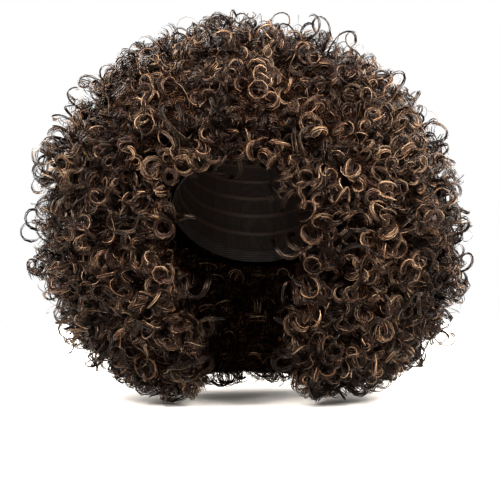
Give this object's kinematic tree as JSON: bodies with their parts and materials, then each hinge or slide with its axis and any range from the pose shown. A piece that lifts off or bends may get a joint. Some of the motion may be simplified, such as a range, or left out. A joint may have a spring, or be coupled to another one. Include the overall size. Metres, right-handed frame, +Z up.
{
  "type": "curly wig",
  "caption": "Big round curly wig on a net cap with an edge band, with a fringe, side, back and nape sections round an open space for the head.",
  "frame": {"origin": "where the top of the wearer's head meets the inside of the cap", "axes": "+Z up, -Y towards the face, +X towards the wearer's left"},
  "size_m": [0.4244, 0.3379, 0.3768],
  "materials": {
    "cap_net": "black stretch net",
    "elastic": "woven black elastic",
    "hair": "curled synthetic hair fibre, dark brown with golden brown strands"
  },
  "bodies": {
    "root": {"cap": "cap_net", "edge_band": "elastic", "crown_curls": "hair", "fringe": "hair", "left_side_curls": "hair", "right_side_curls": "hair", "back_curls": "hair", "left_fall": "hair", "right_fall": "hair", "nape_fall": "hair"}
  },
  "joints": []
}
